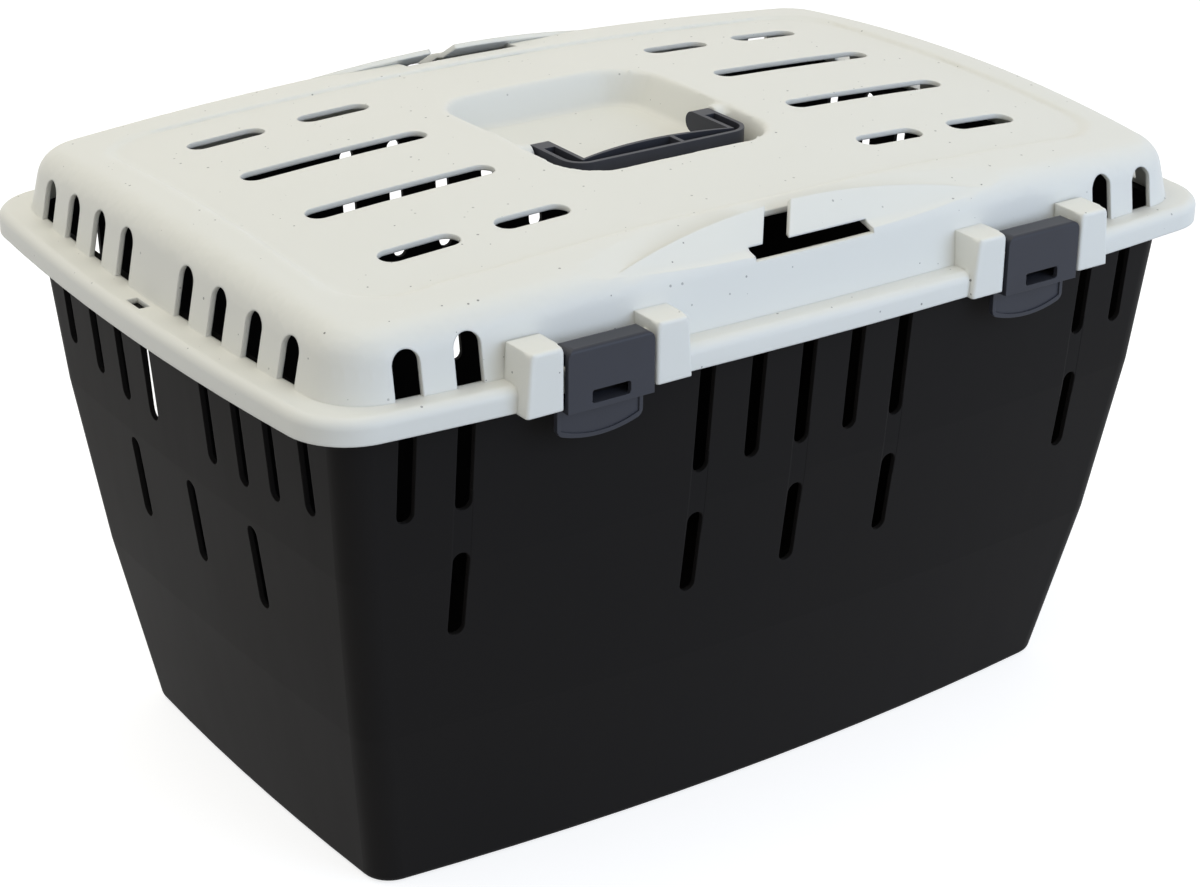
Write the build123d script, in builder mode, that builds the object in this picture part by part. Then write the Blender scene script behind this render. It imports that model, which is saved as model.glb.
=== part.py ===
from build123d import *
from math import cos, radians, sin, tan
import os

os.makedirs("parts", exist_ok=True)

TOP_END = (Align.MAX, Align.CENTER)

# All sizes are in millimetres. The tub stands on z = 0, the front faces -Y and X runs along the length.

# Shell
seam_height = 240.0  # floor to the lower edge of the lid's skirt
wall = 2.4
floor_thickness = 3.0

# Tub outside: half sizes at the seam and at the floor, and how far the sides belly out between them
tub_top_half_length = 229.5
tub_base_half_length = 198.7
tub_length_belly = 3.6
tub_top_half_width = 153.1
tub_base_half_width = 118.7
tub_width_belly = 4.7
tub_end_bow = 3.4
tub_side_bow = 11.8
tub_corner_radius = 14.0
tub_foot_radius = 3.0
tub_levels = 4
tub_foot_steps = 4

# Lid skirt
skirt_half_length = 250.0
skirt_half_width = 168.2
skirt_end_bow = 8.5
skirt_side_bow = 12.4
skirt_corner_radius = 29.0
skirt_height = 11.0
skirt_shoulder_radius = 4.5

# Lid dome, measured where it rises from the skirt
dome_half_length = 236.0
dome_half_width = 156.7
dome_end_bow = 7.0
dome_side_bow = 9.8
dome_corner_radius = 26.0
dome_end_lean = 0.20
dome_side_lean = 0.14
dome_edge_radius = 15.0
dome_inner_chamfer = 8.5
crown_height = 53.2  # highest point of the roof's border above the seam, before the panel is sunk
crown_radius_along = 2700.0
crown_radius_across = 1350.0
crown_sweep = 8.0  # degrees to each side that the roof's arc is turned through

# Sunk middle panel of the roof
panel_half_length = 205.0
panel_half_width = 118.0
panel_corner_radius = 28.0
panel_depth = 2.0

# Rim of the tub, under the skirt
rim_side_gap = 1.4
rim_seat_gap = 0.3
rim_thickness = 2.8
rim_lip_drop = 0.5

# Slots in the tub
tub_slot_width = 8.0
tub_slot_top = 2.0
slot_pitch = 27.35
side_columns = (-2, -1, 0, 1, 2)
side_short_columns = (-2, 0, 2)
side_long_bottom = 58.9
side_short_top = 79.0
side_short_bottom = 119.7
side_outer_columns = (170.8, 197.0)
side_outer_long_bottom = 47.8
side_outer_short_top = 68.0
side_outer_short_bottom = 108.7
end_columns = ((27.4, 57.3), (54.6, 57.3), (81.0, 53.8), (109.5, 49.2))
end_short_columns = (-54.6, 0.0, 54.6)
end_short_top = 76.5
end_short_bottom = 117.1

# Slots in the lid
lid_slot_width = 12.3
roof_short_rows = 83.5
roof_short_slots = ((80.2, 116.5), (135.0, 173.1))
roof_long_rows = 28.3
roof_long_slot = (82.5, 175.6)
side_arches = ((172.2, 33.0), (199.3, 31.0))
end_arches = ((27.3, 34.2), (54.6, 33.5), (82.0, 32.2), (109.1, 30.6))
skirt_window_length = 12.0
skirt_window_width = 5.0
skirt_window_x = 241.5

# Handle pocket
pocket_half_length = 58.5
pocket_half_width = 64.0
pocket_y = 4.0
pocket_corner_radius = 25.0
pocket_floor = 33.0
pocket_slope = 20.0
pocket_floor_radius = 4.0

# Handle
pivot_y = -9.5
pivot_rise = 43.5
handle_half_width = 50.0
handle_arm_width = 10.0
handle_arm_height = 10.0
handle_reach = 34.5
handle_corner_radius = 11.0
grip_width = 7.0
grip_height = 11.0
grip_bulge = 6.6
grip_rib_x = 11.0
channel_wall = 2.2
channel_floor = 2.4
pin_radius = 3.0
pin_end = 57.0
pin_clearance = 0.3
boss_radius = 6.0
boss_face = 51.0
boss_end = 60.0

# Clip blocks on the lid, in pairs at the front and at the back
latch_x = 117.5
latch_gap = 45.5
block_base_width = 18.0
block_top_width = 16.0
block_face = 170.0
block_top = 26.5
block_drop = 0.5
block_edge_radius = 1.5
notch_rise = 4.0
bar_radius = 2.5
bar_y = 161.5
bar_rise = 19.5
bar_clearance = 0.25

# Front latch
latch_width = 42.4
latch_wall = 2.4
barrel_radius = 4.8
latch_face = 170.2
hook_gap = 0.3
hook_reach = 158.5
latch_window_width = 19.0
latch_window_height = 5.8
tongue_face = 162.3
tongue_corner_drop = 15.5
tongue_centre_drop = 19.5
tongue_bead = 1.8
tongue_bead_height = 0.7
latch_corner_radius = 4.0
latch_shoulder_radius = 1.8

# Rear hinge clip and the bar it holds on the tub
hinge_y = 163.8
hinge_drop = 6.8
hinge_clip_width = 38.0
hinge_side_gap = 0.6
hinge_web = 2.6
curl_clearance = 0.3
curl_mouth = 70.0

# Belt guide on the front and back shoulders of the dome
belt_slot_half = 32.0
belt_slot_bottom = 34.5
belt_slot_top = 39.0
belt_opening_back = 127.0
facet_y = 125.0
facet_rise = 45.0
facet_slope = 17.5
facet_radius = 2300.0
facet_half_length = 150.0
flap_base_y = 149.0
flap_base_rise = 37.0
flap_slope = 45.0
flap_thickness = 2.6
flap_half_length = 97.0
flap_end_height = 5.4
flap_centre_height = 20.0
flap_root = 0.5
flap_gap_width = 14.0
flap_gap_x = -19.0
flap_gap_shift = 12.0


def bowed_plan(half_length, half_width, end_bow, side_bow, corner_radius):
    """Rounded rectangle whose four sides swell outwards, the half sizes taken at mid side."""
    corner_x = half_length - end_bow
    corner_y = half_width - side_bow
    with BuildSketch() as plan:
        with BuildLine():
            ThreePointArc((-corner_x, -corner_y), (0, -half_width), (corner_x, -corner_y))
            ThreePointArc((corner_x, -corner_y), (half_length, 0), (corner_x, corner_y))
            ThreePointArc((corner_x, corner_y), (0, half_width), (-corner_x, corner_y))
            ThreePointArc((-corner_x, corner_y), (-half_length, 0), (-corner_x, -corner_y))
        make_face()
        fillet(plan.vertices(), corner_radius)
    return plan.sketch


def tub_plan(height, inset):
    """Outline of the tub at a height above the floor, drawn in by the inset."""
    drop = 1 - height / seam_height
    length_swell = 4 * tub_length_belly * drop * (1 - drop)
    width_swell = 4 * tub_width_belly * drop * (1 - drop)
    half_length = tub_top_half_length - (tub_top_half_length - tub_base_half_length) * drop + length_swell
    half_width = tub_top_half_width - (tub_top_half_width - tub_base_half_width) * drop + width_swell
    return bowed_plan(
        half_length - inset, half_width - inset, tub_end_bow, tub_side_bow, tub_corner_radius - inset
    )


def skirt_plan(inset):
    """Outline of the lid's skirt, drawn in by the inset."""
    return bowed_plan(
        skirt_half_length - inset,
        skirt_half_width - inset,
        skirt_end_bow,
        skirt_side_bow,
        skirt_corner_radius - inset,
    )


def dome_plan(rise, inset):
    """Outline of the dome at a rise above the seam, drawn in by the inset."""
    climb = rise - skirt_height
    return bowed_plan(
        dome_half_length - dome_end_lean * climb - inset,
        dome_half_width - dome_side_lean * climb - inset,
        dome_end_bow,
        dome_side_bow,
        dome_corner_radius - inset,
    )


def skirt_bow_at(x):
    """How far the skirt's long side falls back from mid side at a distance along the length."""
    return skirt_side_bow * (x / (skirt_half_length - skirt_end_bow)) ** 2


def crown_block(rise):
    """Solid that ends upwards in the roof's double arch, its top at a rise above the seam."""
    axis_height = seam_height + rise - crown_radius_along
    reach = skirt_half_width
    edge = crown_radius_along - reach**2 / (2 * crown_radius_across)
    root = crown_radius_along - rise - skirt_height
    tilt = radians(crown_sweep)
    tilted = Plane(origin=(0, 0, axis_height), x_dir=(0, 1, 0), z_dir=(cos(tilt), 0, sin(tilt)))
    with BuildPart() as block:
        with BuildSketch(tilted):
            with BuildLine():
                ThreePointArc((-reach, edge), (0, crown_radius_along), (reach, edge))
                Polyline((reach, edge), (reach, root), (-reach, root), (-reach, edge))
            make_face()
        revolve(axis=Axis((0, 0, axis_height), (0, 1, 0)), revolution_arc=2 * crown_sweep)
    return block.part


def dome_form(inset):
    """The raised middle of the lid as a solid with sharp edges, drawn in by the inset all round."""
    crown = crown_block(crown_height - inset)
    with BuildPart() as dome:
        for rise in (skirt_height - wall - rim_thickness, crown_height):
            with BuildSketch(Plane.XY.offset(seam_height + rise)):
                add(dome_plan(rise, inset))
        loft()
        add(crown, mode=Mode.INTERSECT)
    return dome.part


def roof_edges(form):
    """The edges all round the roof of a form."""
    return form.faces().sort_by(Axis.Z)[-1].edges()


def panel_block(growth, sink):
    """Everything above the sunk panel, from its floor to clear of the roof."""
    crown = crown_block(crown_height - panel_depth - sink)
    with BuildPart() as block:
        with BuildSketch(Plane.XY.offset(seam_height + crown_height / 2)):
            RectangleRounded(
                2 * (panel_half_length + growth),
                2 * (panel_half_width + growth),
                panel_corner_radius + growth,
            )
        extrude(amount=crown_height)
        add(crown, mode=Mode.SUBTRACT)
    return block.part


def pocket_block(growth):
    """The space of the handle pocket, grown by the growth on every side but the top."""
    slope = radians(pocket_slope)
    depth = crown_height - pocket_floor
    inset = depth * tan(slope) - growth * (1 / cos(slope) - tan(slope))
    with BuildPart() as block:
        with BuildSketch(Plane.XY.offset(seam_height + pocket_floor - growth)):
            with Locations((0, pocket_y)):
                RectangleRounded(
                    2 * (pocket_half_length - inset),
                    2 * (pocket_half_width - inset),
                    pocket_corner_radius - inset,
                )
        extrude(amount=depth + growth, taper=-pocket_slope)
        fillet(block.faces().sort_by(Axis.Z)[0].edges(), pocket_floor_radius + growth)
    return block.part


def facet_block(sink):
    """Everything above the shallow facet on the front shoulder, lowered square to it by the sink."""
    slope = radians(facet_slope)
    lift = facet_half_length**2 / (2 * facet_radius)
    top = facet_rise
    across = Plane(
        origin=(0, sink * sin(slope) - facet_y, seam_height + facet_rise - sink * cos(slope)),
        x_dir=(1, 0, 0),
        z_dir=(0, -cos(slope), -sin(slope)),
    )
    with BuildPart() as block:
        with BuildSketch(across):
            with BuildLine():
                ThreePointArc((-facet_half_length, lift), (0, 0), (facet_half_length, lift))
                Polyline(
                    (facet_half_length, lift),
                    (facet_half_length, top),
                    (-facet_half_length, top),
                    (-facet_half_length, lift),
                )
            make_face()
        extrude(amount=facet_rise, both=True)
    return block.part


lid_crown = seam_height + crown_height
flange_under = seam_height + skirt_height - wall
rim_top = flange_under - rim_seat_gap
bar_height = seam_height + bar_rise
hinge_height = seam_height - hinge_drop
pivot_height = seam_height + pivot_rise


# Belt guide: a raised flap on the shoulder, split by a slanted gap, with the belt's slot under it
flap_plane = Plane(
    origin=(0, -flap_base_y, seam_height + flap_base_rise),
    x_dir=(1, 0, 0),
    z_dir=(0, -sin(radians(flap_slope)), cos(radians(flap_slope))),
)
gap_foot = flap_gap_x
gap_head = flap_gap_x + flap_gap_shift
gap_half = flap_gap_width / 2

with BuildPart() as flap:
    with BuildSketch(flap_plane):
        with BuildLine():
            ThreePointArc(
                (-flap_half_length, flap_end_height),
                (0, flap_centre_height),
                (flap_half_length, flap_end_height),
            )
            Polyline(
                (flap_half_length, flap_end_height),
                (flap_half_length, -flap_root),
                (-flap_half_length, -flap_root),
                (-flap_half_length, flap_end_height),
            )
        make_face()
    extrude(amount=-flap_thickness)

flap_back = flap_thickness / sin(radians(flap_slope))
slot_depth = (belt_slot_top - flap_base_rise) / tan(radians(flap_slope))
flap_back_foot = flap_base_y - slot_depth - flap_back
flap_back_rise = belt_slot_top + (flap_back_foot - belt_opening_back) * tan(radians(flap_slope))

with BuildPart() as belt_way:
    with BuildSketch(Plane.YZ):
        with BuildLine():
            Polyline(
                (-block_face, seam_height + belt_slot_bottom),
                (-block_face, seam_height + belt_slot_top),
                (-flap_back_foot, seam_height + belt_slot_top),
                (-belt_opening_back, seam_height + flap_back_rise),
                (-belt_opening_back, seam_height + belt_slot_bottom),
                close=True,
            )
        make_face()
    extrude(amount=belt_slot_half, both=True)
    with BuildSketch(flap_plane):
        with BuildLine():
            Polyline(
                (gap_foot - gap_half, 0),
                (gap_foot + gap_half, 0),
                (gap_head + gap_half, flap_centre_height + flap_root),
                (gap_head - gap_half, flap_centre_height + flap_root),
                close=True,
            )
        make_face()
    extrude(amount=2 * flap_thickness, both=True)


# Clip blocks: one block, its twin across the clip, then all four pairs
with BuildPart() as block_pair:
    with BuildSketch(Plane.XZ.offset(dome_half_width - 2 * wall)):
        with BuildLine():
            Polyline(
                (latch_gap / 2, seam_height - block_drop),
                (latch_gap / 2 + block_base_width, seam_height - block_drop),
                (latch_gap / 2 + block_top_width, seam_height + block_top),
                (latch_gap / 2, seam_height + block_top),
                close=True,
            )
        make_face()
    extrude(amount=block_face - dome_half_width + 2 * wall)
    face_edges = block_pair.faces().sort_by(Axis.Y)[0].edges()
    fillet(face_edges.sort_by(Axis.Z)[1:], block_edge_radius)
    mirror(about=Plane.YZ)

with BuildPart() as clip_blocks:
    with Locations((-latch_x, 0, 0), (latch_x, 0, 0)):
        add(block_pair.part)
    mirror(about=Plane.XZ)

with BuildPart() as clip_bars:
    for centre in (-latch_x, latch_x):
        with BuildSketch(Plane.YZ.offset(centre)):
            with Locations((-bar_y, bar_height), (bar_y, bar_height)):
                Circle(bar_radius)
        extrude(amount=latch_gap / 2 + wall, both=True)


# Hollow of the lid, with the walls of the pocket, the panel and the facet kept
with BuildPart() as inner_dome:
    add(dome_form(wall))
    chamfer(roof_edges(inner_dome), dome_inner_chamfer)

inner_panel = panel_block(wall, wall)
inner_pocket = pocket_block(wall)
inner_facet = facet_block(wall)

with BuildPart() as lid_hollow:
    with BuildSketch(Plane.XY.offset(seam_height - block_drop)):
        add(skirt_plan(wall))
    extrude(amount=skirt_height - wall + block_drop)
    add(inner_dome.part)
    add(inner_panel, mode=Mode.SUBTRACT)
    add(inner_pocket, mode=Mode.SUBTRACT)
    add(inner_facet, mode=Mode.SUBTRACT)


# Lid
with BuildPart() as outer_dome:
    add(dome_form(0))
    fillet(roof_edges(outer_dome), dome_edge_radius)

outer_panel = panel_block(0, 0)
outer_pocket = pocket_block(0)
outer_facet = facet_block(0)

with BuildPart() as lid:
    with BuildSketch(Plane.XY.offset(seam_height)):
        add(skirt_plan(0))
    extrude(amount=skirt_height)
    fillet(lid.faces().sort_by(Axis.Z)[-1].edges(), skirt_shoulder_radius)
    add(outer_dome.part)
    add(outer_panel, mode=Mode.SUBTRACT)
    add(outer_facet, mode=Mode.SUBTRACT)
    add(flap.part)
    mirror(flap.part, about=Plane.XZ)
    add(clip_blocks.part)
    add(lid_hollow.part, mode=Mode.SUBTRACT)
    add(outer_pocket, mode=Mode.SUBTRACT)
    add(belt_way.part, mode=Mode.SUBTRACT)
    mirror(belt_way.part, about=Plane.XZ, mode=Mode.SUBTRACT)

    # Notches in the skirt between the blocks, and the bars that the clips turn on
    with BuildSketch(Plane.XZ):
        with Locations((-latch_x, seam_height), (latch_x, seam_height)):
            Rectangle(latch_gap, 2 * notch_rise)
    extrude(amount=block_face, both=True, mode=Mode.SUBTRACT)
    add(clip_bars.part)

    # Slots in the roof
    with BuildSketch(Plane.XY.offset(lid_crown)):
        for side in (-1, 1):
            for row in (-roof_short_rows, roof_short_rows):
                for start, end in roof_short_slots:
                    with Locations((side * (start + end) / 2, row)):
                        SlotOverall(end - start, lid_slot_width)
            for row in (-roof_long_rows, roof_long_rows):
                with Locations((side * sum(roof_long_slot) / 2, row)):
                    SlotOverall(roof_long_slot[1] - roof_long_slot[0], lid_slot_width)
    extrude(amount=skirt_height - crown_height, mode=Mode.SUBTRACT)

    # Arched slots round the foot of the dome
    arch_foot = seam_height + skirt_height
    arch_radius = lid_slot_width / 2
    arch_base = skirt_height + arch_radius
    with BuildSketch(Plane.XZ):
        for side in (-1, 1):
            for x, rise in side_arches:
                with Locations((side * x, arch_foot)):
                    Rectangle(lid_slot_width, rise - arch_base, align=(Align.CENTER, Align.MIN))
                with Locations((side * x, seam_height + rise - arch_radius)):
                    Circle(arch_radius)
    extrude(amount=block_face, both=True, mode=Mode.SUBTRACT)
    for side in (-1, 1):
        with BuildSketch(Plane.YZ.offset(side * panel_half_length)):
            for mirrored in (-1, 1):
                for y, rise in end_arches:
                    with Locations((mirrored * y, arch_foot)):
                        Rectangle(lid_slot_width, rise - arch_base, align=(Align.CENTER, Align.MIN))
                    with Locations((mirrored * y, seam_height + rise - arch_radius)):
                        Circle(arch_radius)
        extrude(amount=side * (dome_half_length - panel_half_length + wall), mode=Mode.SUBTRACT)

    # Window in the skirt's top at each end
    with BuildSketch(Plane.XY.offset(arch_foot)):
        with Locations((-skirt_window_x, 0), (skirt_window_x, 0)):
            Rectangle(skirt_window_width, skirt_window_length)
    extrude(amount=2 * wall, both=True, mode=Mode.SUBTRACT)

    # Bosses that take the handle's pins
    for side in (-1, 1):
        with BuildSketch(Plane.YZ.offset(side * boss_face)):
            with Locations((pivot_y, pivot_height)):
                Circle(boss_radius)
        extrude(amount=side * (boss_end - boss_face))
        with BuildSketch(Plane.YZ.offset(side * boss_face)):
            with Locations((pivot_y, pivot_height)):
                Circle(pin_radius + pin_clearance)
        extrude(amount=side * (pin_end + pin_clearance - boss_face), mode=Mode.SUBTRACT)


# Tub
with BuildPart() as tub_hollow:
    for level in range(tub_levels):
        height = floor_thickness + (rim_top + wall - floor_thickness) * level / (tub_levels - 1)
        with BuildSketch(Plane.XY.offset(height)):
            add(tub_plan(height, wall))
    loft(ruled=True)

with BuildPart() as tub:
    for step in range(tub_foot_steps):
        turn = radians(90 * step / tub_foot_steps)
        height = tub_foot_radius * (1 - cos(turn))
        with BuildSketch(Plane.XY.offset(height)):
            add(tub_plan(height, tub_foot_radius * (1 - sin(turn))))
    for level in range(tub_levels):
        height = tub_foot_radius + (rim_top - tub_foot_radius) * level / (tub_levels - 1)
        with BuildSketch(Plane.XY.offset(height)):
            add(tub_plan(height, 0))
    loft(ruled=True)
    add(tub_hollow.part, mode=Mode.SUBTRACT)

    # Slots in the long sides
    slot_top = seam_height + tub_slot_top
    outer_long_length = side_outer_long_bottom + tub_slot_top
    with BuildSketch(Plane.XZ):
        for column in side_columns:
            with Locations((column * slot_pitch, slot_top)):
                SlotOverall(side_long_bottom + tub_slot_top, tub_slot_width, rotation=90, align=TOP_END)
        for column in side_short_columns:
            with Locations((column * slot_pitch, seam_height - side_short_top)):
                SlotOverall(side_short_bottom - side_short_top, tub_slot_width, rotation=90, align=TOP_END)
        for side in (-1, 1):
            for x in side_outer_columns:
                with Locations((side * x, slot_top)):
                    SlotOverall(outer_long_length, tub_slot_width, rotation=90, align=TOP_END)
            with Locations((side * side_outer_columns[0], seam_height - side_outer_short_top)):
                SlotOverall(
                    side_outer_short_bottom - side_outer_short_top, tub_slot_width, rotation=90, align=TOP_END
                )
    extrude(amount=dome_half_width, both=True, mode=Mode.SUBTRACT)
    with BuildSketch(Plane.YZ):
        for side in (-1, 1):
            for y, bottom in end_columns:
                with Locations((side * y, slot_top)):
                    SlotOverall(bottom + tub_slot_top, tub_slot_width, rotation=90, align=TOP_END)
        for y in end_short_columns:
            with Locations((y, seam_height - end_short_top)):
                SlotOverall(end_short_bottom - end_short_top, tub_slot_width, rotation=90, align=TOP_END)
    extrude(amount=dome_half_length, both=True, mode=Mode.SUBTRACT)

    # Rim under the lid's skirt, with its turned-down lip
    with BuildSketch(Plane.XY.offset(rim_top)):
        add(skirt_plan(wall + rim_side_gap))
        add(tub_plan(seam_height, wall), mode=Mode.SUBTRACT)
    extrude(amount=-rim_thickness)
    with BuildSketch(Plane.XY.offset(rim_top)):
        add(skirt_plan(wall + rim_side_gap))
        add(skirt_plan(2 * wall + rim_side_gap), mode=Mode.SUBTRACT)
    extrude(amount=seam_height - rim_lip_drop - rim_top)

    # Bars at the back that the lid's hinge clips turn on, each hung from the lip by two webs
    web_back = hinge_y + rim_side_gap
    web_front = skirt_half_width - skirt_bow_at(latch_x) - 2 * wall - rim_side_gap
    web_x = hinge_clip_width / 2 + hinge_side_gap + hinge_web / 2
    for centre in (-latch_x, latch_x):
        for side in (-1, 1):
            with BuildSketch(Plane.XY.offset(seam_height - rim_lip_drop)):
                with Locations((centre + side * web_x, web_front)):
                    Rectangle(hinge_web, web_back - web_front, align=(Align.CENTER, Align.MIN))
            extrude(amount=rim_lip_drop - hinge_drop - bar_radius)
        with BuildSketch(Plane.YZ.offset(centre)):
            with Locations((hinge_y, hinge_height)):
                Circle(bar_radius)
        extrude(amount=hinge_clip_width / 2 + hinge_side_gap + hinge_web, both=True)


# Handle: a bail of channel section, folded forward into its pocket
arm_under = pivot_height - handle_arm_height / 2
handle_top = pivot_height + handle_arm_height / 2
grip_front = pivot_y - handle_reach
grip_back = grip_front + grip_width
arm_inner = handle_half_width - handle_arm_width
channel_end = pivot_y - handle_arm_height / 2 - channel_wall


def bail_plan(inset, back):
    """Outline of the handle seen from above, drawn in by the inset, its arms ending at the back."""
    with BuildSketch() as plan:
        with BuildLine():
            Polyline(
                (arm_inner + inset, grip_back - inset),
                (arm_inner + inset, back),
                (handle_half_width - inset, back),
                (handle_half_width - inset, grip_front + inset),
                (inset - handle_half_width, grip_front + inset),
                (inset - handle_half_width, back),
                (-arm_inner - inset, back),
                (-arm_inner - inset, grip_back - inset),
            )
            ThreePointArc(
                (-arm_inner - inset, grip_back - inset),
                (0, grip_back + grip_bulge - inset),
                (arm_inner + inset, grip_back - inset),
            )
        make_face()
        fillet(plan.vertices().group_by(Axis.Y)[0], handle_corner_radius - inset)
    return plan.sketch


with BuildPart() as handle:
    with BuildSketch(Plane.XY.offset(handle_top - grip_height)):
        add(bail_plan(0, pivot_y + handle_arm_height / 2))
    extrude(amount=grip_height)
    with BuildSketch(Plane.YZ):
        with Locations((pivot_y, arm_under)):
            Rectangle(handle_reach, handle_arm_height, align=(Align.MAX, Align.MIN))
        with Locations((grip_front, handle_top - grip_height)):
            Rectangle(grip_width + 2 * grip_bulge, grip_height, align=(Align.MIN, Align.MIN))
        with Locations((pivot_y, pivot_height)):
            Circle(handle_arm_height / 2)
    extrude(amount=handle_half_width, both=True, mode=Mode.INTERSECT)
    with BuildSketch(Plane.XY.offset(handle_top)):
        add(bail_plan(channel_wall, channel_end))
        with Locations((grip_rib_x, (grip_front + grip_back + grip_bulge) / 2)):
            Rectangle(channel_wall, grip_width + 2 * grip_bulge, mode=Mode.SUBTRACT)
    extrude(amount=channel_floor - handle_arm_height, mode=Mode.SUBTRACT)
    for side in (-1, 1):
        with BuildSketch(Plane.YZ.offset(side * (handle_half_width - channel_wall))):
            with Locations((pivot_y, pivot_height)):
                Circle(pin_radius)
        extrude(amount=side * (pin_end - handle_half_width + channel_wall))


# Front latches: one drawn in place, the other its mirror image
hook_top = seam_height - rim_lip_drop - hook_gap
hook_under = hook_top - latch_wall

with BuildPart() as latch_front_view:
    with BuildSketch(Plane.XZ.offset(hook_reach - wall)) as latch_outline:
        with BuildLine():
            Polyline(
                (-latch_x - latch_width / 2, seam_height - tongue_corner_drop),
                (-latch_x - latch_width / 2, bar_height + barrel_radius),
                (-latch_x + latch_width / 2, bar_height + barrel_radius),
                (-latch_x + latch_width / 2, seam_height - tongue_corner_drop),
            )
            ThreePointArc(
                (-latch_x - latch_width / 2, seam_height - tongue_corner_drop),
                (-latch_x, seam_height - tongue_centre_drop),
                (-latch_x + latch_width / 2, seam_height - tongue_corner_drop),
            )
        make_face()
        fillet(latch_outline.vertices(), latch_corner_radius)
    extrude(amount=latch_face - hook_reach + 2 * wall)

with BuildPart() as latch_left:
    with BuildSketch(Plane.YZ.offset(-latch_x)):
        with Locations((-bar_y, bar_height)):
            Circle(barrel_radius)
        with Locations((-latch_face, bar_height + barrel_radius)):
            Rectangle(latch_face - bar_y, latch_wall, align=(Align.MIN, Align.MAX))
            Rectangle(latch_wall, bar_height + barrel_radius - hook_under, align=(Align.MIN, Align.MAX))
        with Locations((-latch_face, hook_under)):
            Rectangle(latch_face - hook_reach, latch_wall, align=(Align.MIN, Align.MIN))
        with Locations((-tongue_face, hook_top)):
            Rectangle(latch_wall, hook_top - seam_height + tongue_centre_drop, align=(Align.MIN, Align.MAX))
        with Locations((-bar_y, bar_height)):
            Circle(bar_radius + bar_clearance, mode=Mode.SUBTRACT)
    extrude(amount=latch_width / 2, both=True)
    shoulder = latch_left.edges().filter_by(Axis.X).group_by(Axis.Z)[-1].sort_by(Axis.Y)[0]
    fillet(shoulder, latch_shoulder_radius)
    add(latch_front_view.part, mode=Mode.INTERSECT)

    # Window above the hook
    with BuildSketch(Plane.XZ.offset(tongue_face + wall)):
        with Locations((-latch_x, hook_top)):
            Rectangle(latch_window_width, latch_window_height, align=(Align.CENTER, Align.MIN))
    extrude(amount=latch_face - tongue_face, mode=Mode.SUBTRACT)

    # Sunk face of the tongue, which leaves a bead round its edge
    with BuildSketch(Plane.XZ.offset(tongue_face - tongue_bead_height)):
        with BuildLine():
            Polyline(
                (-latch_x - latch_width / 2 + tongue_bead, seam_height - tongue_corner_drop + tongue_bead),
                (-latch_x - latch_width / 2 + tongue_bead, hook_under - tongue_bead),
                (-latch_x + latch_width / 2 - tongue_bead, hook_under - tongue_bead),
                (-latch_x + latch_width / 2 - tongue_bead, seam_height - tongue_corner_drop + tongue_bead),
            )
            ThreePointArc(
                (-latch_x - latch_width / 2 + tongue_bead, seam_height - tongue_corner_drop + tongue_bead),
                (-latch_x, seam_height - tongue_centre_drop + tongue_bead),
                (-latch_x + latch_width / 2 - tongue_bead, seam_height - tongue_corner_drop + tongue_bead),
            )
        make_face()
    extrude(amount=latch_face - tongue_face, mode=Mode.SUBTRACT)

with BuildPart() as latch_right:
    mirror(latch_left.part, about=Plane.YZ)


# Rear hinge clips
curl_inner = bar_radius + curl_clearance
curl_outer = curl_inner + latch_wall
clip_face = hinge_y + curl_outer
mouth_reach = 2 * curl_outer

with BuildPart() as hinge_clip_left:
    with BuildSketch(Plane.YZ.offset(-latch_x)):
        with Locations((bar_y, bar_height)):
            Circle(barrel_radius)
        with Locations((clip_face, bar_height + barrel_radius)):
            Rectangle(clip_face - bar_y, latch_wall, align=(Align.MAX, Align.MAX))
        with Locations((hinge_y, hinge_height)):
            Circle(curl_outer)
        with BuildLine():
            Polyline(
                (hinge_y, hinge_height),
                (hinge_y, hinge_height + mouth_reach),
                (hinge_y - mouth_reach, hinge_height + mouth_reach),
                (hinge_y - mouth_reach, hinge_height + mouth_reach * tan(radians(90 - curl_mouth))),
                close=True,
            )
        make_face(mode=Mode.SUBTRACT)
        with Locations((clip_face, bar_height + barrel_radius)):
            Rectangle(latch_wall, barrel_radius + bar_rise + hinge_drop, align=(Align.MAX, Align.MAX))
        with Locations((bar_y, bar_height)):
            Circle(bar_radius + bar_clearance, mode=Mode.SUBTRACT)
        with Locations((hinge_y, hinge_height)):
            Circle(curl_inner, mode=Mode.SUBTRACT)
    extrude(amount=hinge_clip_width / 2, both=True)

with BuildPart() as hinge_clip_right:
    mirror(hinge_clip_left.part, about=Plane.YZ)


tub.part.label = "tub"
lid.part.label = "lid"
handle.part.label = "handle"
latch_left.part.label = "latch_left"
latch_right.part.label = "latch_right"
hinge_clip_left.part.label = "hinge_clip_left"
hinge_clip_right.part.label = "hinge_clip_right"

export_step(tub.part, "parts/tub.step")
export_step(lid.part, "parts/lid.step")
export_step(handle.part, "parts/handle.step")
export_step(latch_left.part, "parts/latch_left.step")
export_step(latch_right.part, "parts/latch_right.step")
export_step(hinge_clip_left.part, "parts/hinge_clip_left.step")
export_step(hinge_clip_right.part, "parts/hinge_clip_right.step")
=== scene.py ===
"""Looks of a two-shell cat carrier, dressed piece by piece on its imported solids.

Every size is in metres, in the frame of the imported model: the carrier stands on z = 0, its front faces
-Y and X runs along its length.

Each moulding is a copy of its solid with its sharp edges rounded: all of them narrowly on the handle and the
clips, and those that are soft on the real lid widely.
"""

import logging
import math
from collections.abc import Callable
from dataclasses import dataclass
from enum import Enum

import bmesh
import bpy
from mathutils import Matrix, Vector
from mathutils.kdtree import KDTree


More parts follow.
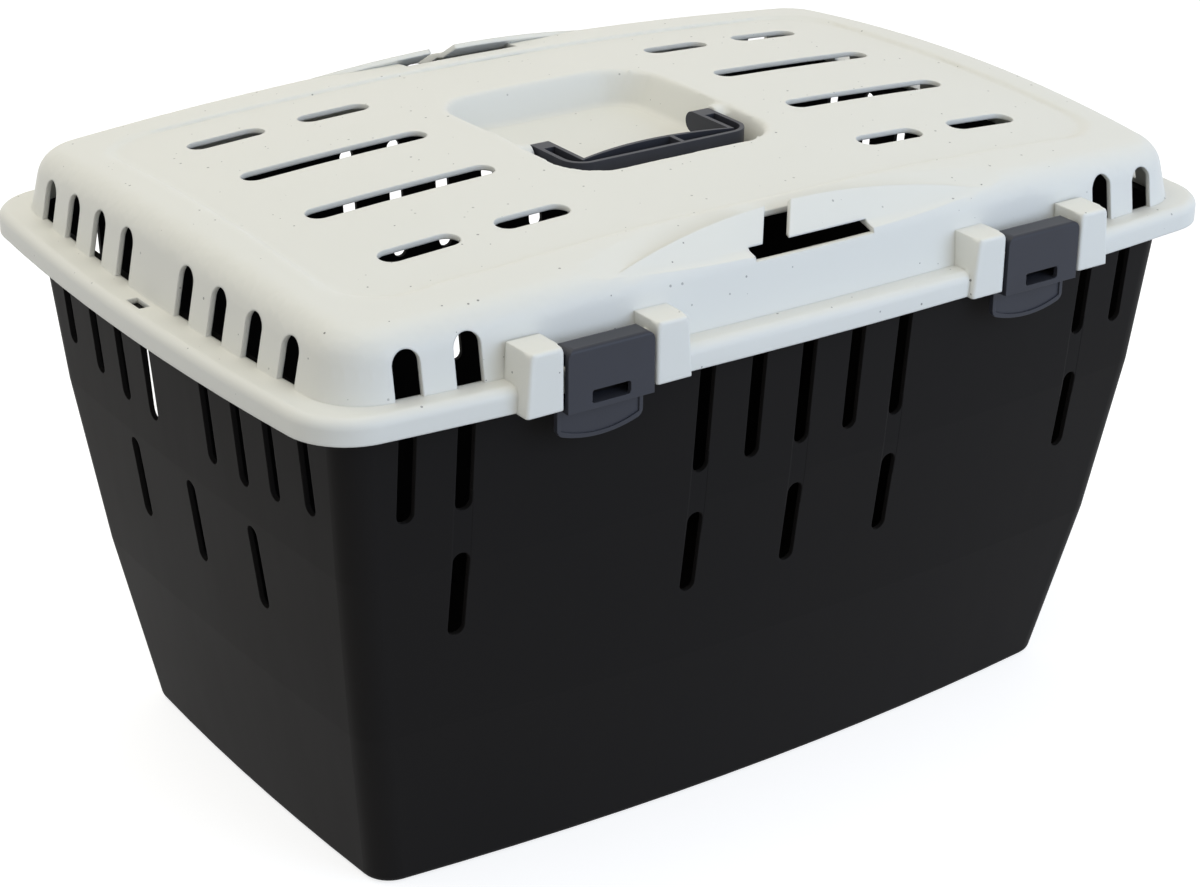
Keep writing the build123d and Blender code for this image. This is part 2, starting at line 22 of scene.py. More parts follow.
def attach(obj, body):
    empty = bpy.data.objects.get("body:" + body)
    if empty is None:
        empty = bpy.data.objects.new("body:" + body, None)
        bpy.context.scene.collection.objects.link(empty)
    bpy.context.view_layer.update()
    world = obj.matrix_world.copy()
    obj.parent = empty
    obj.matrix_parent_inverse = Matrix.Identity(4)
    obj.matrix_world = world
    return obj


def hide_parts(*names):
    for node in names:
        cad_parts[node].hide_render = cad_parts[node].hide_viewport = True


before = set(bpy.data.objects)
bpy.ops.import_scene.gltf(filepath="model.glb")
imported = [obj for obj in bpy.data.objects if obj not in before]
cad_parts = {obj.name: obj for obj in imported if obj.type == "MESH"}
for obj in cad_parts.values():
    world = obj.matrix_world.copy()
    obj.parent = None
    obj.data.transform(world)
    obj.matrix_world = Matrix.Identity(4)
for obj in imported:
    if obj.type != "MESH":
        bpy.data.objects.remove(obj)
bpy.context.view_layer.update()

PHOTO_WIDTH = 1200
PHOTO_HEIGHT = 887
MM = 0.001
LATCH_X = 117.5 * MM
TRIM_WIDTH = 0.4 * MM
EDGE_SAMPLES = 6
MIX_INPUTS = (0, 6, 7)
MIX_RESULT = 2
GLOW_DEPTH = 3.0 * MM
WHITE = (1.0, 1.0, 1.0, 1.0)

log = logging.getLogger("cat_carrier")


class Side(Enum):
    """The two ends of the carrier, as seen from the front; the value is the sign of X there."""

    LEFT = -1
    RIGHT = 1


class Value:
    """A shader socket that arithmetic is written on: each operator adds its Math node."""

    def __init__(self, graph: "Graph", socket: bpy.types.NodeSocket) -> None:
        """Wraps an output socket of a graph."""
        self.graph = graph
        self.socket = socket

    def maths(self, operation: str, *values: object) -> "Value":
        """One Math node.

        Args:
            operation: Blender's name of the operation.
            values: its inputs in order, numbers or values.

        Returns:
            The node's result.
        """
        return self.graph.node("ShaderNodeMath", {"operation": operation}, dict(enumerate(values)))

    def __add__(self, other: object) -> "Value":
        """Sum."""
        return self.maths("ADD", self, other)

    def __radd__(self, other: object) -> "Value":
        """Sum, the number first."""
        return self.maths("ADD", other, self)

    def __sub__(self, other: object) -> "Value":
        """Difference."""
        return self.maths("SUBTRACT", self, other)

    def __rsub__(self, other: object) -> "Value":
        """Difference, the number first."""
        return self.maths("SUBTRACT", other, self)

    def __mul__(self, other: object) -> "Value":
        """Product."""
        return self.maths("MULTIPLY", self, other)

    def __rmul__(self, other: object) -> "Value":
        """Product, the number first."""
        return self.maths("MULTIPLY", other, self)

    def __lt__(self, other: object) -> "Value":
        """1 where this is below the other, else 0."""
        return self.maths("LESS_THAN", self, other)

    def __gt__(self, other: object) -> "Value":
        """1 where this is above the other, else 0."""
        return self.maths("GREATER_THAN", self, other)

    def __abs__(self) -> "Value":
        """Size without sign."""
        return self.maths("ABSOLUTE", self)

    def band(self, low: float, high: float, soft: float) -> "Value":
        """1 between two limits, falling to 0 over a soft width outside them."""
        rise = self.graph.step(self, low - soft, low)
        fall = self.graph.step(self, high, high + soft)
        return rise * (1 - fall)


class Graph:
    """The nodes of a material or of the sky."""

    def __init__(self, owner: bpy.types.Material | bpy.types.World) -> None:
        """Clears the nodes that a new material or world starts with."""
        self.owner = owner
        owner.use_nodes = True
        self.tree = owner.node_tree
        self.tree.nodes.clear()

    def node(
        self, kind: str, settings: dict | None = None, inputs: dict | None = None, output: object = 0
    ) -> Value:
        """Adds a node.

        Args:
            kind: Blender's type of the node.
            settings: its properties, set before its sockets.
            inputs: a number, colour or value for each socket, by name or place.
            output: name or place of the socket that is handed back.

        Returns:
            That socket as a value.
        """
        made = self.tree.nodes.new(kind)
        for key, setting in (settings or {}).items():
            setattr(made, key, setting)
        for key, value in (inputs or {}).items():
            socket = made.inputs[key]
            if isinstance(value, Value):
                self.tree.links.new(value.socket, socket)
            else:
                socket.default_value = value
        return Value(self, made.outputs[output]) if len(made.outputs) else Value(self, None)

    def place(self) -> Value:
        """Object coordinates, in metres."""
        return self.node("ShaderNodeTexCoord", output="Object")

    def axes(self, vector: Value) -> tuple[Value, Value, Value]:
        """The three parts of a vector."""
        split = self.node("ShaderNodeSeparateXYZ", {}, {0: vector}).socket.node
        return tuple(Value(self, socket) for socket in split.outputs)

    def noise(self, scale: float, detail: float = 2.0, vector: Value | None = None) -> Value:
        """Cloudy noise about 0.5.

        Args:
            scale: swirls in a metre.
            detail: octaves.
            vector: where it is read, the object's own place unless given.

        Returns:
            The noise.
        """
        at = vector or self.place()
        return self.node("ShaderNodeTexNoise", {}, {"Vector": at, "Scale": scale, "Detail": detail}, "Fac")

    def step(self, value: Value, low: float, high: float) -> Value:
        """Smooth rise from 0 at low to 1 at high."""
        inputs = {"Value": value, "From Min": low, "From Max": high}
        return self.node("ShaderNodeMapRange", {"interpolation_type": "SMOOTHSTEP"}, inputs)

    def mix(self, factor: object, first: object, second: object) -> Value:
        """Two colours mixed by a factor."""
        inputs = dict(zip(MIX_INPUTS, (factor, first, second)))
        return self.node("ShaderNodeMix", {"data_type": "RGBA"}, inputs, MIX_RESULT)

    def rounded(self, radius: float) -> Value:
        """Normal that rounds the edges of the mesh by a radius."""
        return self.node("ShaderNodeBevel", {"samples": EDGE_SAMPLES}, {"Radius": radius})

    def sees_backdrop(self) -> Value:
        """1 for the rays that find floor and sky white, 0 for those that light the carrier."""
        path = self.node("ShaderNodeLightPath").socket.node
        camera = Value(self, path.outputs["Is Camera Ray"])
        glossy = Value(self, path.outputs["Is Glossy Ray"])
        transmission = Value(self, path.outputs["Is Transmission Ray"])
        return (camera + glossy + transmission) > 0.5

    def finish(
        self, colour: object, roughness: object, normal: Value, gloss: float, glow_through: float = 0.0
    ) -> bpy.types.Material:
        """Ends the graph in one Principled shader.

        Args:
            colour: base colour.
            roughness: from 0, mirror, to 1, matt.
            normal: surface normal.
            gloss: specular level of the plastic.
            glow_through: share of the light that goes through the skin of the plastic.

        Returns:
            The material.
        """
        inputs = {
            "Base Color": colour,
            "Roughness": roughness,
            "Normal": normal,
            "Specular IOR Level": gloss,
            "Subsurface Weight": glow_through,
            "Subsurface Radius": WHITE[:3],
            "Subsurface Scale": GLOW_DEPTH,
        }
        shader = self.node("ShaderNodeBsdfPrincipled", {}, inputs)
        self.node("ShaderNodeOutputMaterial", {}, {"Surface": shader})
        return self.owner


def paint(red: float, green: float, blue: float) -> tuple[float, float, float, float]:
    """A linear colour with full alpha."""
    return (red, green, blue, 1.0)


@dataclass(frozen=True)
class Relief:
    """One layer of low relief in a plastic's skin.

    Attributes:
        depth: metres from its low to its high places.
        strength: share of the effect.
        scale: swirls in a metre, where the relief is noise.
    """

    depth: float
    strength: float
    scale: float = 0.0

    def over(self, graph: Graph, normal: Value, height: Value | None = None) -> Value:
        """Lays the relief over the normal below it.

        Args:
            graph: the material's nodes.
            normal: the normal below.
            height: 0 to 1 over the surface; without it, noise of the relief's own scale.

        Returns:
            The bumped normal.
        """
        if height is None:
            height = graph.noise(self.scale)
        inputs = {"Height": height, "Distance": self.depth, "Strength": self.strength, "Normal": normal}
        return graph.node("ShaderNodeBump", {}, inputs, "Normal")


@dataclass(frozen=True)
class SpeckledPlastic:
    """Satin off-white polypropylene with sparse dark specks in it."""

    tone: tuple = paint(0.785, 0.782, 0.735)
    shade: tuple = paint(0.755, 0.752, 0.70)
    cloud_scale: float = 7.0
    cloud_detail: float = 3.0
    speck_tone: tuple = paint(0.16, 0.155, 0.15)
    speck_cells: float = 210.0
    speck_reach: float = 0.13
    speck_share: float = 0.30
    smallest_speck: float = 0.35
    faintest_speck: float = 0.35
    darkest_speck: float = 0.85
    roughness: float = 0.40
    roughness_spread: float = 0.08
    speck_roughness: float = 0.1
    gloss: float = 0.2
    glow_through: float = 0.3
    edge: float = 1.2 * MM
    waves: Relief = Relief(0.25 * MM, 0.5, 22.0)
    grain: Relief = Relief(0.03 * MM, 0.35, 1500.0)

    def material(self) -> bpy.types.Material:
        """Builds the material."""
        graph = Graph(bpy.data.materials.new("lid_plastic"))
        cloud = graph.noise(self.cloud_scale, self.cloud_detail)
        speck, strength = self.specks(graph)
        colour = graph.mix(cloud, self.shade, self.tone)
        cover = self.faintest_speck + (self.darkest_speck - self.faintest_speck) * strength
        colour = graph.mix(speck * cover, colour, self.speck_tone)
        normal = self.grain.over(graph, self.waves.over(graph, graph.rounded(self.edge)))
        roughness = self.roughness + self.roughness_spread * (cloud - 0.5) + self.speck_roughness * speck
        return graph.finish(colour, roughness, normal, self.gloss, self.glow_through)

    def specks(self, graph: Graph) -> tuple[Value, Value]:
        """Scatters the specks.

        Args:
            graph: the material's nodes.

        Returns:
            1 in a speck, else 0, and how dark each speck is.
        """
        cells = {"Vector": graph.place(), "Scale": self.speck_cells}
        distance = graph.node("ShaderNodeTexVoronoi", {}, cells, "Distance")
        chance, size, strength = graph.axes(Value(graph, distance.socket.node.outputs["Color"]))
        reach = self.speck_reach * (self.smallest_speck + (1 - self.smallest_speck) * size)
        return (distance < reach) * (chance < self.speck_share), strength


@dataclass(frozen=True)
class SlotChannels:
    """Shallow channels in the tub's wall that join each long slot with the short one below it."""

    columns: tuple = (-54.7 * MM, 0.0, 54.7 * MM)
    outer_columns: tuple = (-170.8 * MM, 170.8 * MM)
    top: float = 190.0 * MM
    foot: float = 150.0 * MM
    outer_top: float = 200.0 * MM
    outer_foot: float = 160.0 * MM
    half_width: float = 4.0 * MM
    wall_from: float = 112.0 * MM
    edge: float = 0.7 * MM
    sunk: Relief = Relief(0.25 * MM, 0.8)

    def mask(self, graph: Graph, along: Value, across: Value, up: Value) -> Value:
        """Where the channels are.

        Args:
            graph: the material's nodes; not used.
            along: place along the long wall.
            across: place across the carrier.
            up: height.

        Returns:
            1 in a channel, else 0.
        """
        total = None
        groups = (
            (self.columns, self.foot, self.top),
            (self.outer_columns, self.outer_foot, self.outer_top),
        )
        for columns, foot, top in groups:
            upright = up.band(foot, top, self.edge)
            for column in columns:
                strip = (along - column).band(-self.half_width, self.half_width, self.edge) * upright
                total = strip if total is None else total + strip
        return total * (abs(across) > self.wall_from)


@dataclass(frozen=True)
class TubPlastic:
    """Satin near-black polypropylene, clouded a little and with streaks that run down the walls."""

    tone: tuple = paint(0.0160, 0.0145, 0.0136)
    shade: tuple = paint(0.0120, 0.0114, 0.0116)
    cloud_scale: float = 9.0
    cloud_detail: float = 4.0
    streak_scale: tuple = (90.0, 90.0, 5.0)
    streak_detail: float = 3.0
    # Painted shade in the slot channels: how far they are darkened towards the darker tone.
    channel_painted_shade: float = 0.25
    roughness: float = 0.50
    roughness_spread: float = 0.10
    streak_spread: float = 0.05
    gloss: float = 0.03
    edge: float = 0.6 * MM
    channels: SlotChannels = SlotChannels()
    streaks: Relief = Relief(0.12 * MM, 0.35)
    grain: Relief = Relief(0.03 * MM, 0.45, 1300.0)

    def material(self) -> bpy.types.Material:
        """Builds the material."""
        graph = Graph(bpy.data.materials.new("tub_plastic"))
        place = graph.place()
        cloud = graph.noise(self.cloud_scale, self.cloud_detail)
        drawn_out = graph.node("ShaderNodeMapping", {}, {"Vector": place, "Scale": self.streak_scale})
        streak = graph.noise(1.0, self.streak_detail, drawn_out)
        channel = self.channels.mask(graph, *graph.axes(place))
        colour = graph.mix(cloud, self.shade, self.tone)
        # Painted shade: the recessed channels are darkened towards the tub's darker tone.
        colour = graph.mix(channel * self.channel_painted_shade, colour, self.shade)
        normal = self.channels.sunk.over(graph, graph.rounded(self.edge), 1 - channel)
        normal = self.grain.over(graph, self.streaks.over(graph, normal, streak))
        roughness = self.roughness + self.roughness_spread * (cloud - 0.5)
        return graph.finish(colour, roughness + self.streak_spread * (streak - 0.5), normal, self.gloss)


@dataclass(frozen=True)
class FittingPlastic:
    """Satin anthracite plastic of the handle and the clips."""

    tone: tuple = paint(0.044, 0.046, 0.057)
    shade: tuple = paint(0.036, 0.037, 0.045)
    cloud_scale: float = 45.0
    cloud_detail: float = 3.0
    roughness: float = 0.38
    roughness_spread: float = 0.10
    gloss: float = 0.18
    edge: float = 0.35 * MM
    waves: Relief = Relief(0.08 * MM, 0.4, 70.0)
    grain: Relief = Relief(0.02 * MM, 0.4, 1700.0)

    def material(self) -> bpy.types.Material:
        """Builds the material."""
        graph = Graph(bpy.data.materials.new("fitting_plastic"))
        cloud = graph.noise(self.cloud_scale, self.cloud_detail)
        colour = graph.mix(cloud, self.shade, self.tone)
        normal = self.grain.over(graph, self.waves.over(graph, graph.rounded(self.edge)))
        roughness = self.roughness + self.roughness_spread * (cloud - 0.5)
        return graph.finish(colour, roughness, normal, self.gloss)


@dataclass
class Moulding:
    """One moulded piece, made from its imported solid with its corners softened."""

    node: str
    body: str
    slot: str
    material: bpy.types.Material
    edge_width: float = 0.0
    edge_segments: int = 2
    weld: float = 0.002 * MM
    smooth_angle: float = math.radians(35)

    def build(self) -> bpy.types.Object:
        """Makes the piece, shapes it and sets it on its body.

        Returns:
            The finished piece.
        """
        piece = self.copy_solid()
        self.shape(piece)
        piece.data.materials.clear()
        piece.data.materials.append(self.material)
        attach(piece, self.body)
        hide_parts(self.node)
        log.info("%s: %d faces on body %s", piece.name, len(piece.data.polygons), self.body)
        return piece

    def copy_solid(self) -> bpy.types.Object:
        """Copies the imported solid, with the normals of its true surfaces."""
        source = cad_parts[self.node]
        piece = bpy.data.objects.new(f"{self.node}_moulding", source.data.copy())
        bpy.context.scene.collection.objects.link(piece)
        return piece

    def shape(self, piece: bpy.types.Object) -> None:
        """Rounds the sharp edges where a width is set; a plain moulding stays as it is."""
        if self.edge_width:
            self.weld_up(piece)
            bevel = piece.modifiers.new("soft_edges", "BEVEL")
            bevel.width = self.edge_width
            bevel.segments = self.edge_segments
            bevel.limit_method = "ANGLE"
            bevel.angle_limit = self.smooth_angle
            bpy.ops.object.modifier_apply(modifier=bevel.name)
            self.shade(piece)

    def rework(self, piece: bpy.types.Object, change: Callable[[bmesh.types.BMesh], None]) -> None:
        """Welds the piece and changes its mesh.

        Args:
            piece: the piece.
            change: function that changes the welded mesh in place.
        """
        self.weld_up(piece)
        mesh = bmesh.new()
        mesh.from_mesh(piece.data)
        change(mesh)
        mesh.to_mesh(piece.data)
        mesh.free()

    def weld_up(self, piece: bpy.types.Object) -> None:
        """Joins the faces of the solid into one mesh without normals of its own."""
        pick(piece)
        bpy.ops.object.mode_set(mode="EDIT")
        bpy.ops.mesh.select_all(action="SELECT")
        bpy.ops.mesh.remove_doubles(threshold=self.weld)
        bpy.ops.mesh.customdata_custom_splitnormals_clear()
        bpy.ops.object.mode_set(mode="OBJECT")

    def shade(self, piece: bpy.types.Object) -> None:
        """Shades the piece smooth up to the sharp angle, led by its large faces."""
        pick(piece)
        bpy.ops.object.shade_smooth_by_angle(angle=self.smooth_angle)
        weigh = piece.modifiers.new("face_weights", "WEIGHTED_NORMAL")
        weigh.keep_sharp = True
        bpy.ops.object.modifier_apply(modifier=weigh.name)


@dataclass(frozen=True)
class SoftEdges:
    """Sharp edges that are soft on the real moulding: the skin next to them is refined and rounded.

    Attributes:
        reach: how far from an edge the skin gives way.
        cell: longest side of a face there.
        rounds: how often the skin is smoothed.
        give: share of the way to its neighbours' middle that a point on the edge goes in a round.
        probes: places along a side, for each reach of it, at which its distance is measured.
        sharp: smallest turn between two faces that makes an edge.
        longest: side of a face from which the halving starts.
    """

    reach: float
    cell: float
    rounds: int
    give: float = 0.5
    probes: int = 4
    sharp: float = math.radians(18)
    longest: float = 64.0 * MM

    def holds(self, place: Vector) -> bool:
        """Whether an edge that runs through this place is one of these."""
        raise NotImplementedError

    def on_skin(self, face: bmesh.types.BMFace) -> bool:
        """Whether a face may be refined and moved."""
        raise NotImplementedError

    def soften(self, mesh: bmesh.types.BMesh) -> None:
        """Refines and rounds the skin next to the edges.

        Args:
            mesh: the welded moulding.
        """
        ridge = self.ridge_points(mesh)
        size = self.longest
        while size > self.cell:
            size = max(size / 2, self.cell)
            near = [edge for edge in mesh.edges if edge.calc_length() > size and self.is_near(edge, ridge)]
            bmesh.ops.subdivide_edges(mesh, edges=near, cuts=1)
            bmesh.ops.triangulate(mesh, faces=[face for face in mesh.faces if len(face.verts) > 3])
        mesh.normal_update()
        moved = self.weights(mesh, ridge)
        for _ in range(self.rounds):
            places = {vertex: self.middle(vertex) for vertex in moved}
            for vertex, place in places.items():
                vertex.co = vertex.co.lerp(place, moved[vertex])

    def ridge_points(self, mesh: bmesh.types.BMesh) -> KDTree:
        """Points along the sharp edges."""
        points = []
        for edge in mesh.edges:
            if len(edge.link_faces) != 2 or edge.calc_face_angle() < self.sharp:
                continue
            first, second = (vertex.co for vertex in edge.verts)
            outside = all(self.on_skin(face) for face in edge.link_faces)
            if outside and self.holds(first) and self.holds(second):
                steps = max(1, round(edge.calc_length() / self.cell))
                points += [first.lerp(second, step / steps) for step in range(steps + 1)]
        tree = KDTree(len(points))
        for index, point in enumerate(points):
            tree.insert(point, index)
        tree.balance()
        log.info("%s: %d points on the edges", type(self).__name__, len(points))
        return tree

    def is_near(self, edge: bmesh.types.BMEdge, ridge: KDTree) -> bool:
        """Whether an edge on the skin comes within reach of the sharp ones."""
        first, second = (vertex.co for vertex in edge.verts)
        slack = edge.calc_length() / 2
        if ridge.find(first.lerp(second, 0.5))[2] > self.reach + slack:
            return False
        if not all(self.on_skin(face) for face in edge.link_faces):
            return False
        steps = math.ceil(slack / self.reach) * self.probes
        places = (first.lerp(second, step / steps) for step in range(steps + 1))
        return any(ridge.find(place)[2] < self.reach for place in places)

    def weights(self, mesh: bmesh.types.BMesh, ridge: KDTree) -> dict:
        """How much each point of the skin near the edges gives way in a round."""
        moved = {}
        for vertex in mesh.verts:
            distance = ridge.find(vertex.co)[2]
            if distance < self.reach and all(self.on_skin(face) for face in vertex.link_faces):
                moved[vertex] = self.give * (1 - (distance / self.reach) ** 2)
        return moved

    def middle(self, vertex: bmesh.types.BMVert) -> Vector:
        """Mean place of a point's neighbours."""
        neighbours = [edge.other_vert(vertex).co for edge in vertex.link_edges]
        return sum(neighbours, Vector()) / len(neighbours)


@dataclass(frozen=True)
class RoofRidge(SoftEdges):
    """A ridge of the roof along a rounded rectangle, such as the pocket's lip.

    Attributes:
        depth: how far down the ridge's lower faces go.
        roof_top: height of the roof's crown, which falls off by the squares of X and Y.
        roof_along: square of X for each metre of fall.
        roof_across: square of Y for each metre of fall.
        on_line: how far an edge may lie from the rectangle.
        overhang: least upward turn of a face on the outside.
    """

    half_length: float = 0.0
    half_width: float = 0.0
    centre_y: float = 0.0
    corner_radius: float = 0.0
    depth: float = 0.0
    roof_top: float = 293.2 * MM
    roof_along: float = 5400.0 * MM
    roof_across: float = 2700.0 * MM
    on_line: float = 2.6 * MM
    overhang: float = -0.1

    def holds(self, place: Vector) -> bool:
        """Whether a place lies on the rounded rectangle, seen from above."""
        over_x = abs(place.x) - self.half_length + self.corner_radius
        over_y = abs(place.y - self.centre_y) - self.half_width + self.corner_radius
        outside = math.hypot(max(over_x, 0), max(over_y, 0)) + min(max(over_x, over_y), 0)
        return abs(outside - self.corner_radius) < self.on_line

    def on_skin(self, face: bmesh.types.BMFace) -> bool:
        """Whether a face is on the outside of the roof, down to the ridge's depth."""
        middle = face.calc_center_median()
        roof = self.roof_top - middle.x**2 / self.roof_along - middle.y**2 / self.roof_across
        return face.normal.z > self.overhang and middle.z > roof - self.depth


@dataclass(frozen=True)
class BlockEdges(SoftEdges):
    """The outer edges of the clip blocks, front and back.

    Attributes:
        latch_x: middle of a pair of blocks.
        gap: room between the two blocks.
        block_end: from the pair's middle to a block's far side.
        rear: least distance of a block's outer end from the carrier's middle.
        foot: height of a block's foot.
        margin: how far an edge may lie outside.
        turned_in: outward turn at and below which a face is left alone.
        turned_down: upward turn at and below which a face is left alone.
    """

    latch_x: float = LATCH_X
    gap: float = 45.5 * MM
    block_end: float = 42.0 * MM
    rear: float = 160.5 * MM
    foot: float = 239.0 * MM
    margin: float = 0.3 * MM
    turned_in: float = -0.3
    turned_down: float = -0.5

    def inside(self, place: Vector, margin: float) -> bool:
        """Whether a place is in the box of a block's outer end.

        Args:
            place: the place.
            margin: how far the box is grown.

        Returns:
            True if it is.
        """
        across = abs(abs(place.x) - self.latch_x)
        if not self.gap / 2 - margin < across < self.block_end + margin:
            return False
        return abs(place.y) > self.rear - margin and place.z > self.foot - margin

    def holds(self, place: Vector) -> bool:
        """Whether a place is on a block."""
        return self.inside(place, self.margin)

    def on_skin(self, face: bmesh.types.BMFace) -> bool:
        """Whether a face belongs to a block's outer end and isn't turned inwards or down."""
        middle = face.calc_center_median()
        if face.normal.y * math.copysign(1, middle.y) <= self.turned_in or face.normal.z <= self.turned_down:
            return False
        return self.inside(middle, self.reach)


@dataclass
class LatchMoulding(Moulding):
    """A front latch, with the corners of its window rounded.

    Attributes:
        middle_x: the latch's middle.
        window_half_width: from there to a side of the window.
        corner_width: how much of each side a corner takes.
        near: how far a corner may lie from the window's side.
        straight: least share of an edge's length that runs through the plate.
        hollow: turn between the faces of a corner, below 0 where they meet in a hollow.
    """

    middle_x: float = 0.0
    window_half_width: float = 9.5 * MM
    corner_width: float = 1.3 * MM
    corner_segments: int = 4
    near: float = 0.6 * MM
    straight: float = 0.9
    hollow: float = math.radians(-60)

    def shape(self, piece: bpy.types.Object) -> None:
        """Rounds the window's corners, then the other sharp edges."""
        self.rework(piece, self.round_window)
        super().shape(piece)

    def round_window(self, mesh: bmesh.types.BMesh) -> None:
        """Rounds the corners of the window."""
        corners = [edge for edge in mesh.edges if self.is_corner(edge)]
        bmesh.ops.bevel(
            mesh,
            geom=corners,
            offset=self.corner_width,
            segments=self.corner_segments,
            profile=0.5,
            affect="EDGES",
            clamp_overlap=True,
        )
        log.info("%s: %d corners of the window rounded", self.node, len(corners))

    def is_corner(self, edge: bmesh.types.BMEdge) -> bool:
        """Whether an edge runs through the plate in a corner of the window."""
        first, second = (vertex.co for vertex in edge.verts)
        if len(edge.link_faces) != 2 or abs(first.y - second.y) < self.straight * edge.calc_length():
            return False
        to_side = abs(abs((first.x + second.x) / 2 - self.middle_x) - self.window_half_width)
        return to_side < self.near and edge.calc_face_angle_signed() < self.hollow


@dataclass
class LidMoulding(Moulding):
    """The lid, with the pocket's lip, the step of the sunk panel and the clip blocks rounded."""

    pocket_lip: RoofRidge = RoofRidge(
        reach=6.5 * MM,
        cell=1.3 * MM,
        rounds=16,
        half_length=58.5 * MM,
        half_width=64.0 * MM,
        centre_y=4.0 * MM,
        corner_radius=25.0 * MM,
        depth=24.0 * MM,
    )
    panel_step: RoofRidge = RoofRidge(
        reach=8.5 * MM,
        cell=1.7 * MM,
        rounds=26,
        half_length=205.0 * MM,
        half_width=118.0 * MM,
        corner_radius=28.0 * MM,
        depth=3.0 * MM,
    )
    block_edges: BlockEdges = BlockEdges(reach=4.2 * MM, cell=0.9 * MM, rounds=16)

    def shape(self, piece: bpy.types.Object) -> None:
        """Softens the edges and shades the lid."""
        self.rework(piece, self.soften)
        self.shade(piece)

    def soften(self, mesh: bmesh.types.BMesh) -> None:
        """Softens the three kinds of edges in turn."""
        for edges in (self.pocket_lip, self.panel_step, self.block_edges):
            edges.soften(mesh)


def pick(piece: bpy.types.Object) -> None:
    """Selects one object alone and makes it the active one."""
    bpy.ops.object.select_all(action="DESELECT")
    piece.select_set(True)
    bpy.context.view_layer.objects.active = piece


@dataclass
class Studio:
    """Plain pale floor, soft lamps and an even sky."""

    floor_size: float = 12.0
    floor_drop: float = 0.2 * MM
    floor_tone: tuple = paint(0.52, 0.52, 0.52)
    floor_glow: float = 0.75
    sky_tone: tuple = paint(0.97, 0.985, 1.0)
    sky_strength: float = 0.61
    top_tone: tuple = (1.0, 0.93, 0.72)
    top_power: float = 9.6
    top_size: float = 1.6
    top_place: tuple = (-0.35, 0.35, 1.75)
    front_tone: tuple = (0.57, 0.73, 1.0)
    front_power: float = 16.0
    front_size: float = 1.3
    front_place: tuple = (0.65, -1.75, 0.75)
    aim: tuple = (0.0, 0.0, 0.14)

    def build(self) -> None:
        """Builds floor, sky and lamps."""
        self.floor()
        self.sky()
        self.lamp("top_lamp", self.top_place, self.top_size, self.top_power, self.top_tone)
        self.lamp("front_lamp", self.front_place, self.front_size, self.front_power, self.front_tone)

    def floor(self) -> None:
        """Lays the floor, which looks white to the camera where nothing shades it."""
        bpy.ops.mesh.primitive_plane_add(size=self.floor_size, location=(0, 0, -self.floor_drop))
        floor = bpy.context.active_object
        floor.name = "floor"
        graph = Graph(bpy.data.materials.new("floor"))
        matt = graph.node("ShaderNodeBsdfDiffuse", {}, {"Color": self.floor_tone})
        strength = graph.sees_backdrop() * self.floor_glow
        glow = graph.node("ShaderNodeEmission", {}, {"Color": WHITE, "Strength": strength})
        both = graph.node("ShaderNodeAddShader", {}, {0: matt, 1: glow})
        graph.node("ShaderNodeOutputMaterial", {}, {"Surface": both})
        floor.data.materials.append(graph.owner)

    def sky(self) -> None:
        """Lights the object evenly, with pure white behind it."""
        graph = Graph(bpy.data.worlds.new("sky"))
        sky_light = {"Color": self.sky_tone, "Strength": self.sky_strength}
        even = graph.node("ShaderNodeBackground", {}, sky_light)
        white = graph.node("ShaderNodeBackground", {}, {"Color": WHITE, "Strength": 1.0})
        chosen = graph.node("ShaderNodeMixShader", {}, {0: graph.sees_backdrop(), 1: even, 2: white})
        graph.node("ShaderNodeOutputWorld", {}, {"Surface": chosen})
        bpy.context.scene.world = graph.owner

    def lamp(self, name: str, place: tuple, size: float, power: float, tone: tuple) -> None:
        """Hangs one square lamp that points at the carrier.

        Args:
            name: the lamp's name.
            place: where it hangs.
            size: its side.
            power: its watts.
            tone: its colour.
        """
        bpy.ops.object.light_add(type="AREA", location=place)
        lamp = bpy.context.active_object
        lamp.name = name
        lamp.data.size = size
        lamp.data.energy = power
        lamp.data.color = tone
        lamp.rotation_euler = (Vector(self.aim) - Vector(place)).to_track_quat("-Z", "Y").to_euler()


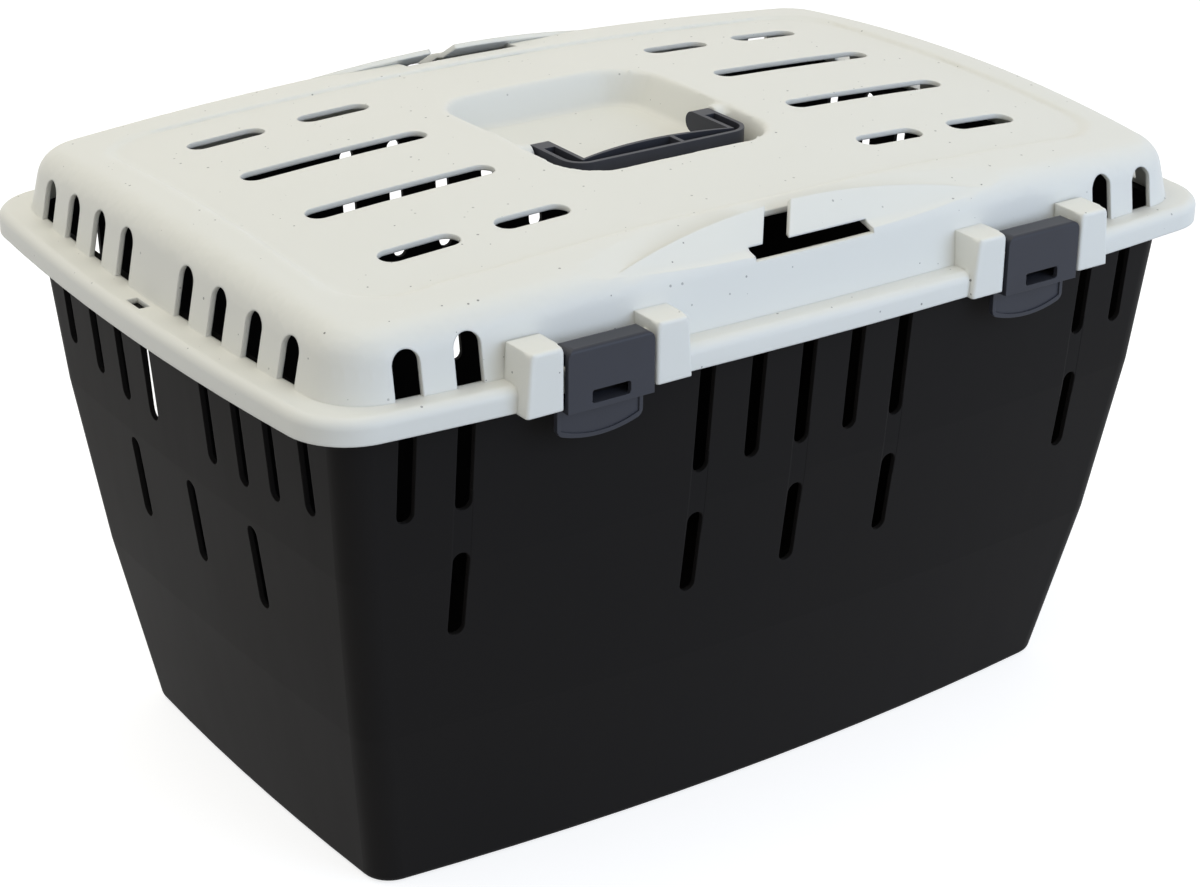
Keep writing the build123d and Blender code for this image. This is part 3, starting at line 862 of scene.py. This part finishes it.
@dataclass
class PhotoCamera:
    """The camera at the photograph's viewing angle."""

    target: tuple = (33.650 * MM, -39.116 * MM, 121.172 * MM)
    distance: float = 1366.67 * MM
    azimuth: float = math.radians(-37.4134)
    elevation: float = math.radians(24.9161)
    roll: float = math.radians(1.5028)
    focal_px: float = 2827.0
    centre_px: tuple = (710.6, 461.9)
    sensor: float = 36.0
    nearest: float = 50.0 * MM

    def build(self) -> bpy.types.Object:
        """Places the camera.

        Returns:
            The camera, set as the scene's own.
        """
        forward = Vector(
            (
                -math.sin(self.azimuth) * math.cos(self.elevation),
                math.cos(self.azimuth) * math.cos(self.elevation),
                -math.sin(self.elevation),
            )
        )
        level = forward.cross(Vector((0, 0, 1))).normalized()
        upright = level.cross(forward)
        right = math.cos(self.roll) * level + math.sin(self.roll) * upright
        up = math.cos(self.roll) * upright - math.sin(self.roll) * level
        data = bpy.data.cameras.new("photo_camera")
        camera = bpy.data.objects.new("photo_camera", data)
        bpy.context.scene.collection.objects.link(camera)
        turn = Matrix((right, up, -forward)).transposed().to_4x4()
        camera.matrix_world = Matrix.Translation(Vector(self.target) - self.distance * forward) @ turn
        data.sensor_width = self.sensor
        data.lens = self.focal_px / PHOTO_WIDTH * self.sensor
        data.shift_x = (PHOTO_WIDTH / 2 - self.centre_px[0]) / PHOTO_WIDTH
        data.shift_y = (self.centre_px[1] - PHOTO_HEIGHT / 2) / PHOTO_WIDTH
        data.clip_start = self.nearest
        bpy.context.scene.camera = camera
        return camera


def mouldings() -> list[Moulding]:
    """The seven pieces of the carrier.

    Returns:
        Each piece with its body and its finish.
    """
    fitting_plastic = FittingPlastic().material()
    fitting = {"slot": "fitting_plastic", "material": fitting_plastic, "edge_width": TRIM_WIDTH}
    pieces = [
        Moulding("tub", "tub", "tub_plastic", TubPlastic().material()),
        LidMoulding("lid", "lid", "lid_plastic", SpeckledPlastic().material()),
        Moulding("handle", "handle", **fitting),
    ]
    for side in Side:
        latch = f"latch_{side.name.lower()}"
        clip = f"hinge_clip_{side.name.lower()}"
        pieces.append(LatchMoulding(latch, latch, **fitting, middle_x=side.value * LATCH_X))
        pieces.append(Moulding(clip, "lid", **fitting))
    return pieces


def main() -> None:
    """Builds every piece, the studio and the camera."""
    logging.basicConfig(level=logging.INFO, format="%(name)s: %(message)s")
    bpy.context.scene.view_settings.view_transform = "Standard"
    for moulding in mouldings():
        moulding.build()
    Studio().build()
    PhotoCamera().build()


if __name__ == "__main__":
    main()
